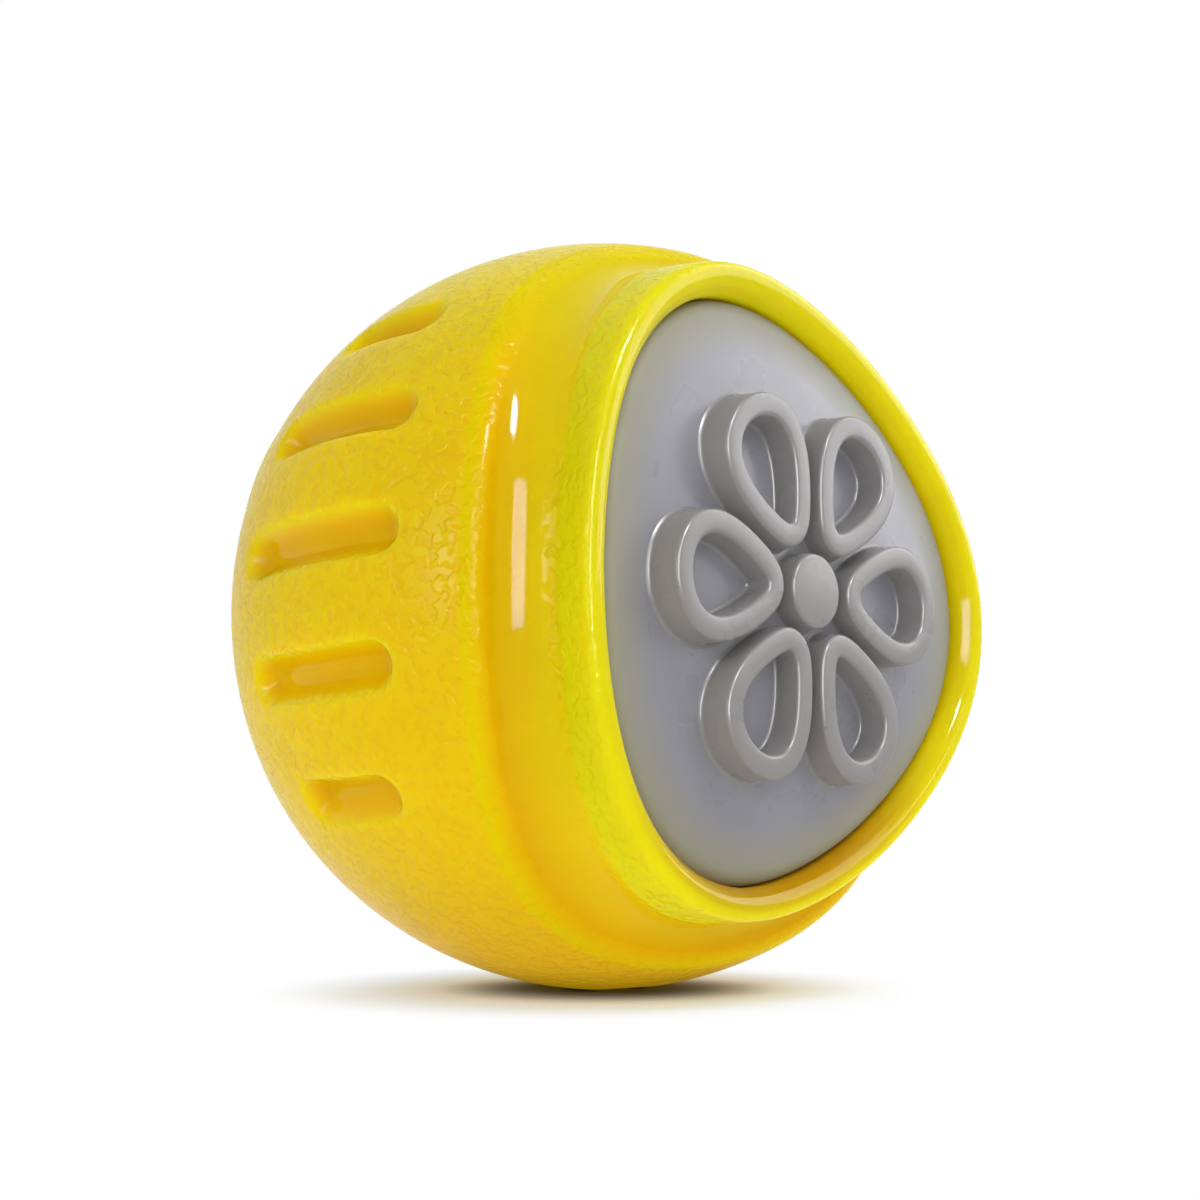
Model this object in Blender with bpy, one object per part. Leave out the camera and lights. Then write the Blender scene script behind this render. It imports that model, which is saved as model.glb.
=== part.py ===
"""Two-tone dog ball: a hollow grey rubber core in two halves, inside a yellow rubber jacket.

The cap axis runs along Y and the ball lies on its belt. The front cap faces -Y. Lengths below are in millimetres
and angles in degrees; the meshes are built in metres.
"""
import math

import bmesh
import bpy
from mathutils import Vector

for old in list(bpy.data.objects):
    bpy.data.objects.remove(old, do_unlink=True)

MM = 0.001

# Driving sizes of the ball: its belt, its height over the rings, its jacket and the clearance between pieces
BALL_R = 32.0
RING_TOP_Z = 21.5
JACKET_WALL = 5.7
FIT_GAP = 0.3

# The windows and rings have three soft lobes, turned from straight up in the lying pose. At the rear the lobes are
# shallower and turned further, the belt is wider and the ring lower
LOBE_COUNT = 3
LOBE_TURN = 29.5
REAR_TURN = 12.0
REAR_LOBES = 0.55
REAR_EDGE_SHIFT = 6.0
REAR_RING_DROP = 0.8
LOBE_FLATTEN = 0.08

# Belt edge, as an angle up from the belt's middle, and the groove beyond it
BELT_EDGE_ANGLE = 24.0
BELT_EDGE_SWING = 4.0
BELT_EDGE_ROUND = 3.0
GROOVE_SAG = 1.25

# Raised ring around each window, set in from the belt
RING_HEIGHT = 3.9
RING_FOOT_INSET = 6.9
RING_FOOT_SWING = 2.3
RING_FOOT_ROUND = 1.0
RING_INSET = 6.8
RING_WIDTH = 1.65
RING_SWING = 1.75
RING_OUTER_ROUND = 1.2
RING_INNER_ROUND = 0.8
RING_FOOT_R = BALL_R - RING_FOOT_INSET
RING_FOOT_Z = RING_TOP_Z - RING_HEIGHT
RING_OUTER_R = BALL_R - RING_INSET
RING_INNER_R = RING_OUTER_R - RING_WIDTH

# Window in the jacket, a lip inside the ring's crest
LIP_WIDTH = 0.9
LIP_DROP = 1.1
WINDOW_R = RING_INNER_R - LIP_WIDTH
WINDOW_EDGE_Z = RING_TOP_Z - LIP_DROP

# Hollow core that fills the jacket, with a gently domed cap in each window
CORE_R = BALL_R - JACKET_WALL - FIT_GAP
CORE_WALL = 4.0
HOLLOW_R = CORE_R - CORE_WALL
CAP_SET_BACK = 0.2
CAP_RISE = 1.2
CAP_EDGE_ROUND = 1.2
CAP_WALL = 4.0
ROOF_ROUND = 4.0
CAP_R = WINDOW_R - FIT_GAP
CAP_EDGE_Z = WINDOW_EDGE_Z - CAP_SET_BACK
CAP_APEX_Z = CAP_EDGE_Z + CAP_RISE
ROOF_Z = CAP_APEX_Z - CAP_WALL

# Lap joint where the two core halves are bonded
LAP_LIP_WALL = 1.85
LAP_LENGTH = 2.5
LAP_LIP_R = HOLLOW_R + LAP_LIP_WALL

# Slots pressed into the belt, in one group between each pair of lobes, a little nearer the rear
SLOT_WIDTH = 3.4
SLOT_DEPTH = 1.7
SLOT_PITCH = 18.3
SLOT_SLANT = 1.8
SLOT_SET_BACK = 0.6
SLOT_GROUP_SHIFTS = (-4.9, 6.5, 0.0)
SLOT_LENGTHS = (10.8, 16.8, 18.8, 16.8, 11.2)

# Flat-topped relief on each cap: a round boss inside a ring of petals
RELIEF_HEIGHT = 2.1
RELIEF_ROOT = 1.2
RELIEF_MARGIN = 5.8
BOSS_R = 3.1
PETAL_COUNT = 6
PETAL_GAP = 0.8
PETAL_HOLE_WIDTH = 5.4
PETAL_HOLE_TAPER = 0.5
RIB_WIDTH = 2.1
RIB_ROUND = 0.5
RELIEF_TOP_Z = CAP_APEX_Z + RELIEF_HEIGHT
RELIEF_R = CAP_R - RELIEF_MARGIN
PETAL_HOLE_LENGTH = RELIEF_R - BOSS_R - PETAL_GAP - 2 * RIB_WIDTH
PETAL_CENTRE_R = RELIEF_R - RIB_WIDTH - PETAL_HOLE_LENGTH / 2

# Mesh fineness
TURN_STEPS = 48
BELT_STEPS = 7
GROOVE_STEPS = 5
CORE_STEPS = 6
DOME_STEPS = 5
PETAL_STEPS = 16
SLOT_SIDES = 10
SLOT_STEPS = 4


def place(radius, turn, height):
    """A point from its distance to the cap axis, its turn from straight up, and its height along the axis."""
    return Vector((-radius * math.sin(turn), -height, radius * math.cos(turn))) * MM


def lobe_turn(side):
    """The turn of the first lobe. Side is 1 for the front and -1 for the rear."""
    return math.radians(LOBE_TURN + REAR_TURN * (1 - side) / 2)


def lobe_wave(turn, side):
    """1 at a front lobe and about -1 half way between two. The rear lobes are shallower."""
    angle = LOBE_COUNT * (turn - lobe_turn(side))
    wave = math.cos(angle) + LOBE_FLATTEN * math.cos(2 * angle)
    return wave if side > 0 else REAR_LOBES * wave


def fillet(before, corner, after, radius, steps):
    """Points of an arc that rounds the corner between two straight runs."""
    to_before = Vector(before) - Vector(corner)
    to_after = Vector(after) - Vector(corner)
    half = to_before.angle(to_after) / 2
    reach = min(radius / math.tan(half), 0.48 * to_before.length, 0.48 * to_after.length)
    start = Vector(corner) + to_before.normalized() * reach
    end = Vector(corner) + to_after.normalized() * reach
    points = []
    for i in range(steps + 1):
        t = i / steps
        points.append((1 - t) ** 2 * start + 2 * t * (1 - t) * Vector(corner) + t ** 2 * end)
    return points


def arc_about_centre(radius, from_angle, to_angle, steps):
    """Points of an arc about the ball's centre, with angles measured up from the belt's middle."""
    points = []
    for i in range(steps + 1):
        angle = from_angle + (to_angle - from_angle) * i / steps
        points.append(Vector((radius * math.cos(angle), radius * math.sin(angle))))
    return points


def groove_points(edge, foot):
    """The hollow between the belt and the ring: a sagging curve below the straight line from edge to foot."""
    run = foot - edge
    inward = Vector((-abs(run.y), -abs(run.x))).normalized()
    low = (edge + foot) / 2 + 2 * GROOVE_SAG * inward
    points = []
    for i in range(GROOVE_STEPS + 1):
        t = i / GROOVE_STEPS
        points.append((1 - t) ** 2 * edge + 2 * t * (1 - t) * low + t ** 2 * foot)
    return points


def jacket_half(turn, side):
    """One half of the jacket's cross-section, from the belt's middle outside to its middle inside."""
    wave = lobe_wave(turn, side)
    rear = (1 - side) / 2
    edge_angle = math.radians(BELT_EDGE_ANGLE - BELT_EDGE_SWING * wave + REAR_EDGE_SHIFT * rear)
    top_z = RING_TOP_Z - REAR_RING_DROP * rear
    foot = Vector((RING_FOOT_R + RING_FOOT_SWING * wave, RING_FOOT_Z))
    ring_outer = Vector((RING_OUTER_R + RING_SWING * wave, top_z))
    ring_inner = Vector((RING_INNER_R + RING_SWING * wave, top_z))
    window_r = WINDOW_R + RING_SWING * wave
    window_edge = Vector((window_r, WINDOW_EDGE_Z))
    seat_r = CORE_R + FIT_GAP
    belt = arc_about_centre(BALL_R, 0.0, edge_angle, BELT_STEPS)
    groove = groove_points(belt[-1], foot)
    section = belt[:-1]
    section += fillet(belt[-2], belt[-1], groove[1], BELT_EDGE_ROUND, 2)
    section += groove[1:-1]
    section += fillet(groove[-2], foot, ring_outer, RING_FOOT_ROUND, 2)
    section += fillet(foot, ring_outer, ring_inner, RING_OUTER_ROUND, 3)
    section += fillet(ring_outer, ring_inner, window_edge, RING_INNER_ROUND, 2)
    section.append(window_edge)
    section += arc_about_centre(seat_r, math.acos(window_r / seat_r), 0.0, CORE_STEPS)
    return section


def jacket_section(turn):
    """The whole closed cross-section of the jacket."""
    front = jacket_half(turn, 1)
    rear = jacket_half(turn, -1)
    return front + [Vector((p.x, -p.y)) for p in reversed(rear[1:-1])]


def dome_z(radius):
    """The height of the cap's gentle dome at a distance from the cap axis."""
    return CAP_APEX_Z - CAP_RISE * (radius / CAP_R) ** 2


def core_outside(turn, side):
    """The outside of a core half, from just off the cap's middle to the bonded face."""
    wave = lobe_wave(turn, side)
    pad_r = CAP_R + RING_SWING * wave
    dome = []
    for i in range(1, DOME_STEPS + 1):
        r = pad_r * i / DOME_STEPS
        dome.append(Vector((r, dome_z(r))))
    corner = dome.pop()
    shoulder_angle = math.acos(pad_r / CORE_R)
    shoulder = Vector((pad_r, CORE_R * math.sin(shoulder_angle)))
    section = dome
    section += fillet(dome[-1], corner, shoulder, CAP_EDGE_ROUND, 3)
    section += arc_about_centre(CORE_R, shoulder_angle, math.asin(FIT_GAP / 2 / CORE_R), CORE_STEPS)
    return section


def core_inside(start_z):
    """The inside of a core half, from the bonded face up to just off the roof's middle."""
    roof_angle = math.asin(ROOF_Z / HOLLOW_R)
    roof_corner = Vector((HOLLOW_R * math.cos(roof_angle), ROOF_Z))
    walls = arc_about_centre(HOLLOW_R, math.asin(start_z / HOLLOW_R), roof_angle, CORE_STEPS)
    section = walls[:-1]
    section += fillet(walls[-2], roof_corner, Vector((0.0, ROOF_Z)), ROOF_ROUND, 2)
    section.append(Vector((roof_corner.x / 2, ROOF_Z)))
    return section


def core_section(turn, side, with_lip):
    """Cross-section of a core half. The front half carries the lap joint's lip and the rear half its rebate."""
    section = core_outside(turn, side)
    face_z = FIT_GAP / 2
    if with_lip:
        section.append(Vector((LAP_LIP_R, face_z)))
        section.append(Vector((LAP_LIP_R, -LAP_LENGTH)))
        section.append(Vector((HOLLOW_R, -LAP_LENGTH)))
        return section + core_inside(0.0)
    rebate_r = LAP_LIP_R + FIT_GAP
    rebate_z = LAP_LENGTH + FIT_GAP
    section.append(Vector((rebate_r, face_z)))
    section.append(Vector((rebate_r, rebate_z)))
    return section + core_inside(rebate_z)


def make_object(name, mesh_data, smooth=True):
    """Turn a bmesh into a named object with its faces pointing outward."""
    bmesh.ops.recalc_face_normals(mesh_data, faces=mesh_data.faces)
    mesh = bpy.data.meshes.new(name)
    mesh_data.to_mesh(mesh)
    mesh_data.free()
    for face in mesh.polygons:
        face.use_smooth = smooth
    thing = bpy.data.objects.new(name, mesh)
    bpy.context.scene.collection.objects.link(thing)
    return thing


def turn_steps():
    """The turns at which cross-sections are taken."""
    return [2 * math.pi * i / TURN_STEPS for i in range(TURN_STEPS)]


def add_band(bm, first, second):
    """Join two rows of points of the same length with a closed band of faces."""
    count = len(first)
    for j in range(count):
        k = (j + 1) % count
        bm.faces.new((first[j], first[k], second[k], second[j]))


def build_jacket():
    """The yellow jacket as one closed loop of cross-sections."""
    bm = bmesh.new()
    rows = []
    for turn in turn_steps():
        rows.append([bm.verts.new(place(p.x, turn, p.y)) for p in jacket_section(turn)])
    for i in range(TURN_STEPS):
        add_band(bm, rows[i], rows[(i + 1) % TURN_STEPS])
    return make_object("jacket", bm)


def build_core_half(name, side, with_lip):
    """One grey half of the core. Side is 1 for the front and -1 for the rear."""
    bm = bmesh.new()
    columns = []
    for turn in turn_steps():
        section = core_section(turn, side, with_lip)
        columns.append([bm.verts.new(place(p.x, turn, side * p.y)) for p in section])
    crown = bm.verts.new(place(0.0, 0.0, side * CAP_APEX_Z))
    roof = bm.verts.new(place(0.0, 0.0, side * ROOF_Z))
    for i in range(TURN_STEPS):
        here = columns[i]
        there = columns[(i + 1) % TURN_STEPS]
        bm.faces.new((crown, here[0], there[0]))
        for j in range(len(here) - 1):
            bm.faces.new((here[j], here[j + 1], there[j + 1], there[j]))
        bm.faces.new((here[-1], roof, there[-1]))
    return make_object(name, bm)


def petal_hole(phase):
    """A point on the egg-shaped hole of a petal, along and across the petal."""
    along = PETAL_CENTRE_R - PETAL_HOLE_LENGTH / 2 * math.cos(phase)
    across = PETAL_HOLE_WIDTH / 2 * (1 - PETAL_HOLE_TAPER * math.cos(phase)) * math.sin(phase)
    return Vector((along, across))


def petal_point(direction, phase, offset):
    """A point outside a petal's hole, as distance and turn about the cap axis."""
    tangent = (petal_hole(phase + 0.01) - petal_hole(phase - 0.01)).normalized()
    spot = petal_hole(phase) + offset * Vector((-tangent.y, tangent.x))
    return spot.length, direction + math.atan2(spot.y, spot.x)


def relief_root_z(radius):
    """How deep the relief's ribs reach into the dome."""
    return dome_z(radius) - RELIEF_ROOT


def build_relief(name, side):
    """The boss and petals of one cap, as solids that the cap is joined with."""
    bm = bmesh.new()
    shoulder_z = RELIEF_TOP_Z - RIB_ROUND
    for petal in range(PETAL_COUNT):
        direction = lobe_turn(side) + 2 * math.pi * petal / PETAL_COUNT
        rows = []
        for i in range(PETAL_STEPS):
            phase = 2 * math.pi * i / PETAL_STEPS
            row = []
            for offset, height in ((0.0, None), (0.0, shoulder_z), (RIB_ROUND, RELIEF_TOP_Z),
                                   (RIB_WIDTH - RIB_ROUND, RELIEF_TOP_Z), (RIB_WIDTH, shoulder_z), (RIB_WIDTH, None)):
                radius, turn = petal_point(direction, phase, offset)
                z = relief_root_z(radius) if height is None else height
                row.append(bm.verts.new(place(radius, turn, side * z)))
            rows.append(row)
        for i in range(PETAL_STEPS):
            add_band(bm, rows[i], rows[(i + 1) % PETAL_STEPS])
    boss_rows = []
    for radius, z in ((BOSS_R, relief_root_z(BOSS_R)), (BOSS_R, shoulder_z), (BOSS_R - RIB_ROUND, RELIEF_TOP_Z)):
        ring = [place(radius, 2 * math.pi * i / PETAL_STEPS, side * z) for i in range(PETAL_STEPS)]
        boss_rows.append([bm.verts.new(p) for p in ring])
    add_band(bm, boss_rows[0], boss_rows[1])
    add_band(bm, boss_rows[1], boss_rows[2])
    bm.faces.new(boss_rows[0])
    bm.faces.new(boss_rows[2])
    return hide_tool(make_object(name, bm))


def slot_row(turn_centre, slide, width, drop):
    """One ring of a slot's capsule, at a distance along its line, with a half width and a half depth."""
    slant = math.tan(math.radians(SLOT_SLANT))
    latitude = (slide - SLOT_SET_BACK) / BALL_R
    turn = turn_centre - slant * latitude
    row = []
    for i in range(SLOT_SIDES):
        angle = 2 * math.pi * i / SLOT_SIDES
        aside = width * math.cos(angle)
        out = drop * math.sin(angle)
        reach = (BALL_R + out) * math.cos(latitude)
        row.append(place(reach, turn + aside / BALL_R, (BALL_R + out) * math.sin(latitude)))
    return row


def add_slot(bm, turn_centre, length):
    """A capsule along the belt, half sunk in it."""
    half_width = SLOT_WIDTH / 2
    straight = length / 2 - half_width
    stations = []
    for i in range(1, 4):
        lean = math.pi / 2 * i / 4
        stations.append((-straight - half_width * math.cos(lean), math.sin(lean)))
    for i in range(SLOT_STEPS + 1):
        stations.append((-straight + 2 * straight * i / SLOT_STEPS, 1.0))
    for i in range(3, 0, -1):
        lean = math.pi / 2 * i / 4
        stations.append((straight + half_width * math.cos(lean), math.sin(lean)))
    rows = []
    for slide, share in stations:
        points = slot_row(turn_centre, slide, half_width * share, SLOT_DEPTH * share)
        rows.append([bm.verts.new(p) for p in points])
    for first, second in zip(rows, rows[1:]):
        add_band(bm, first, second)
    bm.faces.new(rows[0])
    bm.faces.new(rows[-1])


def build_slot_tool():
    """All the slots of the belt, as one set of capsules to cut away."""
    bm = bmesh.new()
    middle = (len(SLOT_LENGTHS) - 1) / 2
    for group, shift in enumerate(SLOT_GROUP_SHIFTS):
        group_turn = LOBE_TURN + (group + 0.5) * 360.0 / LOBE_COUNT + shift
        for i, length in enumerate(SLOT_LENGTHS):
            add_slot(bm, math.radians(group_turn + (i - middle) * SLOT_PITCH), length)
    return hide_tool(make_object("slot_tool", bm))


def hide_tool(thing):
    """Keep a cutting or joining solid out of the finished part."""
    thing.hide_render = True
    thing.display_type = "WIRE"
    return thing


def combine(thing, tool, operation):
    """Cut a tool out of a piece, or join it on."""
    step = thing.modifiers.new(tool.name, "BOOLEAN")
    step.operation = operation
    step.solver = "EXACT"
    step.use_self = operation == "UNION"
    step.object = tool


def finish(thing, name, colour, roughness, coat):
    """Give a piece its own material."""
    material = bpy.data.materials.new(name)
    material.use_nodes = True
    shader = material.node_tree.nodes["Principled BSDF"]
    shader.inputs["Base Color"].default_value = (*colour, 1.0)
    shader.inputs["Roughness"].default_value = roughness
    shader.inputs["Metallic"].default_value = 0.0
    shader.inputs["Coat Weight"].default_value = coat
    thing.data.materials.append(material)


jacket = build_jacket()
combine(jacket, build_slot_tool(), "DIFFERENCE")
finish(jacket, "yellow_rubber", (0.93, 0.60, 0.005), 0.38, 0.2)

core_front = build_core_half("core_front", 1, with_lip=True)
combine(core_front, build_relief("relief_tool_front", 1), "UNION")
finish(core_front, "grey_rubber_front", (0.37, 0.38, 0.44), 0.30, 0.2)

core_rear = build_core_half("core_rear", -1, with_lip=False)
combine(core_rear, build_relief("relief_tool_rear", -1), "UNION")
finish(core_rear, "grey_rubber_rear", (0.37, 0.38, 0.44), 0.30, 0.2)
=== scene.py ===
# %% [markdown]
# A two-tone rubber dog ball
#
# The real toy is a soft yellow jacket moulded over a hollow grey core. The jacket has a grained belt
# with grip slots, a glossy groove at each end, and a raised ring around a three-lobed window. The core's
# crown fills each window and carries a raised relief.
#
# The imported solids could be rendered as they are, but they are faceted and plain. So this lesson loads
# them as a fixed frame, rebuilds every visible surface as a fine mesh of the same size, gives each
# rubber its own node material, and lights the ball like a product photograph on white.

import math

import bpy
import numpy as np
from mathutils import Matrix, Vector


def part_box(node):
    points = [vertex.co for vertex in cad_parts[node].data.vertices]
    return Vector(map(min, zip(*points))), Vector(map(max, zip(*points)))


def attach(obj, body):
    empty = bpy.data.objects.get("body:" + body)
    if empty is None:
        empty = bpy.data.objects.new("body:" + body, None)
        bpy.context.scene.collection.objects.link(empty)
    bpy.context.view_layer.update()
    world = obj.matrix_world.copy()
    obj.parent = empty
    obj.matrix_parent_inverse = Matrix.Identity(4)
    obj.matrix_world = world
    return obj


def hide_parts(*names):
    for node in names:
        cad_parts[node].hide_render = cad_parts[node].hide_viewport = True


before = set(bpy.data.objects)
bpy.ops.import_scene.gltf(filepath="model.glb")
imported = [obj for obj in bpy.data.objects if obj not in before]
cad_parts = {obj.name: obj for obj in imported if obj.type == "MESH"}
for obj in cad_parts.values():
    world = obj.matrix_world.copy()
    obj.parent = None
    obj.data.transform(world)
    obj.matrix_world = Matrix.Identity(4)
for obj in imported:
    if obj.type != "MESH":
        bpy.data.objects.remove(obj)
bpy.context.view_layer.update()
print("nodes:", sorted(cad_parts))

# %% [markdown]
# Driving sizes
#
# A mould maker draws a ball as one cross-section, so every section here is drawn in millimetres, as a
# radius from the cap axis and a height along it. All the sizes could be measured on the loaded solids,
# but named values are easier to read. So only the belt's radius and the relief's height are read from
# the frame, which ties the looks to the solids. Most other sizes repeat the solids' own. A few edges are
# rounder and the gap round the cap is narrower, as they look in the photograph.

# %% Driving sizes
MM = 0.001
jacket_low, jacket_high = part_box("jacket")
front_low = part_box("core_front")[0]
BALL_R = (jacket_high.x - jacket_low.x) / 2 / MM
RELIEF_TOP_Z = -front_low.y / MM
FIT_GAP = 0.3
print("belt radius %.2f mm, relief top at %.2f mm" % (BALL_R, RELIEF_TOP_Z))


def place(radius, turn, height):
    """Points in metres from a radius about the cap axis, a turn from straight up and a height along it."""
    return np.stack((-radius * np.sin(turn), -height, radius * np.cos(turn)), axis=-1) * MM


# %% [markdown]
# Three soft lobes
#
# The grooves, the rings and the windows of the real ball bulge in three places. An outline could be
# drawn for each of them, but they all swell together. So one wave serves every piece, and each radius
# adds a share of it. The rear lobes are shallower and turned a little further.

# %% Lobe wave
LOBE_COUNT = 3
LOBE_TURN = math.radians(29.5)
LOBE_FLATTEN = 0.08
REAR_TURN = math.radians(12.0)
REAR_LOBES = 0.55


def lobe_turn(side):
    """The turn of the first lobe: side is 1 for the front and -1 for the rear."""
    return LOBE_TURN + REAR_TURN * (1 - side) / 2


def lobe_wave(turn, side):
    """About 1 at a front lobe and about -1 half way between two. The rear lobes are shallower."""
    angle = LOBE_COUNT * (turn - lobe_turn(side))
    wave = math.cos(angle) + LOBE_FLATTEN * math.cos(2 * angle)
    return wave if side > 0 else REAR_LOBES * wave


highest = tuple(lobe_wave(lobe_turn(side), side) for side in (1, -1))
print("wave at a front lobe %.2f, at a rear lobe %.2f" % highest)

# %% [markdown]
# Curves for a cross-section
#
# A moulded rubber section is a chain of round corners, hollows and straight runs. Bevel modifiers could
# round the corners, but they bunch up where the lobes change the angles. Drawing each corner as a short
# curve with a fixed number of points keeps every cross-section alike, so neighbouring sections join into
# clean rows of faces.

# %% Curve helpers
CORNER_SHARE = 0.48
STRAIGHT_COSINE = 0.9999


def soft_bend(start, pull, end, steps):
    """A smooth bend from start to end that leans towards the pull point."""
    share = np.linspace(0, 1, steps + 1)[:, None]
    return (1 - share) ** 2 * start + 2 * share * (1 - share) * pull + share ** 2 * end


def corner_curve(before, corner, after, radius, steps):
    """A bend that rounds the corner between two runs and takes less than half of each."""
    before, corner, after = (np.array(p, float) for p in (before, corner, after))
    back, ahead = before - corner, after - corner
    back_length, ahead_length = np.linalg.norm(back), np.linalg.norm(ahead)
    cosine = float(back @ ahead) / back_length / ahead_length
    half = math.acos(max(-STRAIGHT_COSINE, min(STRAIGHT_COSINE, cosine))) / 2
    reach = min(radius / math.tan(half), CORNER_SHARE * back_length, CORNER_SHARE * ahead_length)
    start = corner + back / back_length * reach
    end = corner + ahead / ahead_length * reach
    return soft_bend(start, corner, end, steps)


def point_about_centre(radius, angle):
    """A point at one distance from the ball's centre, at an angle up from the belt's middle."""
    return radius * np.array((math.cos(angle), math.sin(angle)))


def arc_about_centre(radius, from_angle, to_angle, steps):
    """An arc about the ball's centre, with angles measured up from the belt's middle."""
    angles = np.linspace(from_angle, to_angle, steps + 1)
    return radius * np.stack((np.cos(angles), np.sin(angles)), axis=-1)


def straight_run(start, end, count):
    """Points between two ends, without the ends."""
    share = np.linspace(0, 1, count + 2)[1:-1, None]
    return (1 - share) * np.array(start, float) + share * np.array(end, float)


print("a square corner in 4 steps:", corner_curve((0, 1), (0, 0), (1, 0), 0.4, 4).round(2).tolist())

# %% [markdown]
# Joining cross-sections into a skin
#
# Each round piece of the ball is a set of cross-sections taken at many turns about the cap axis. Joining
# every section to the next gives one closed skin of quads. The faces could be added one by one with
# bmesh, but lists of corners built with numpy are shorter to write.


# %% Skin helpers
def ring_faces(turns, points, closed_section):
    """Quads that join each cross-section to the next, all the way round."""
    here = np.arange(turns)[:, None] * points
    there = (np.arange(turns)[:, None] + 1) % turns * points
    last = points if closed_section else points - 1
    j = np.arange(last)[None, :]
    k = (j + 1) % points
    return np.stack((here + j, here + k, there + k, there + j), axis=-1).reshape(-1, 4)


def outward(mesh):
    """Turn a closed mesh's faces so that they point out of the body."""
    mesh.calc_loop_triangles()
    corners = np.zeros(len(mesh.vertices) * 3)
    mesh.vertices.foreach_get("co", corners)
    corners = corners.reshape(-1, 3)
    triangles = np.zeros(len(mesh.loop_triangles) * 3, int)
    mesh.loop_triangles.foreach_get("vertices", triangles)
    a, b, c = (corners[triangles.reshape(-1, 3)[:, i]] for i in range(3))
    if np.einsum("ij,ij->i", a, np.cross(b, c)).sum() < 0:
        mesh.flip_normals()


def make_piece(name, points, faces):
    """A smooth-shaded mesh object from points in metres and lists of face corners."""
    mesh = bpy.data.meshes.new(name)
    mesh.from_pydata(np.asarray(points).tolist(), [], [list(face) for face in faces])
    mesh.validate()
    outward(mesh)
    mesh.shade_smooth()
    piece = bpy.data.objects.new(name, mesh)
    bpy.context.scene.collection.objects.link(piece)
    print("%s: %d faces" % (name, len(mesh.polygons)))
    return piece


# %% Finish marks on the points
def smooth_step(low, high, value):
    """0 below low, 1 above high and a soft S between."""
    share = np.clip((value - low) / (high - low), 0.0, 1.0)
    return share * share * (3 - 2 * share)


def mark(piece, name, values):
    """Store one number per point, which the material reads by name."""
    attribute = piece.data.attributes.new(name, "FLOAT", "POINT")
    attribute.data.foreach_set("value", np.asarray(values, np.float32).ravel())
    print("%s: %s from %.2f to %.2f" % (piece.name, name, np.min(values), np.max(values)))


# %% [markdown]
# The jacket's cross-section
#
# From the belt's middle outward the section follows the ball's own arc, rolls over the belt's edge,
# sinks into the glossy groove, climbs the ring's outer wall, rounds over its crest and drops to the
# window. Behind that it follows the seat that the core sits in. It could be one long list of points, but
# here each stretch has a name, so that the finish can change with it: grain on the belt and on the
# ring's wall, gloss in the groove. The rear half has a wider belt and a lower ring.

# %% Jacket sizes
BELT_EDGE_ANGLE = math.radians(24.0)
BELT_EDGE_SWING = math.radians(4.0)
BELT_EDGE_ROUND = 4.5
GROOVE_SAG = 1.25
REAR_EDGE_SHIFT = math.radians(6.0)
REAR_RING_DROP = 0.8

RING_TOP_Z = 21.5
RING_HEIGHT = 3.9
RING_FOOT_Z = RING_TOP_Z - RING_HEIGHT
RING_FOOT_INSET = 6.9
RING_FOOT_R = BALL_R - RING_FOOT_INSET
RING_FOOT_SWING = 2.3
RING_FOOT_ROUND = 1.0
RING_INSET = 6.8
RING_OUTER_R = BALL_R - RING_INSET
RING_OUTER_ROUND = 1.2
RING_WIDTH = 1.65
RING_INNER_R = RING_OUTER_R - RING_WIDTH
RING_INNER_ROUND = 1.6
RING_SWING = 1.75

LIP_WIDTH = 0.9
LIP_DROP = 1.1
WINDOW_R = RING_INNER_R - LIP_WIDTH
WINDOW_EDGE_Z = RING_TOP_Z - LIP_DROP
JACKET_WALL = 5.7
SEAT_R = BALL_R - JACKET_WALL
print("window radius %.2f mm, seat radius %.2f mm" % (WINDOW_R, SEAT_R))

# %% Jacket rows
JACKET_TURNS = 720
BELT_ROWS = 42
ROLL_ROWS = 8
GROOVE_ROWS = 18
TOE_ROWS = 6
WALL_ROWS = 4
SHOULDER_ROWS = 8
CREST_ROWS = 2
LIP_ROWS = 6
LEDGE_ROWS = 1
SEAT_ROWS = 10

# The roll starts at an angle before the belt's edge. It and the ring's toe bend towards rows of the groove,
# which keeps only the rows between them
ROLL_LEAD = 0.12
ROLL_AIM = 6
TOE_AIM = -5
GROOVE_KEPT = slice(4, -3)


# %% Jacket section
def groove_curve(edge, foot):
    """The hollow between the belt's edge and the ring's foot, sunk square to the line between them."""
    run = foot - edge
    sink = np.array((-abs(run[1]), -abs(run[0])))
    lowest = (edge + foot) / 2 + 2 * GROOVE_SAG * sink / np.linalg.norm(sink)
    return soft_bend(edge, lowest, foot, GROOVE_ROWS)


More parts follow.
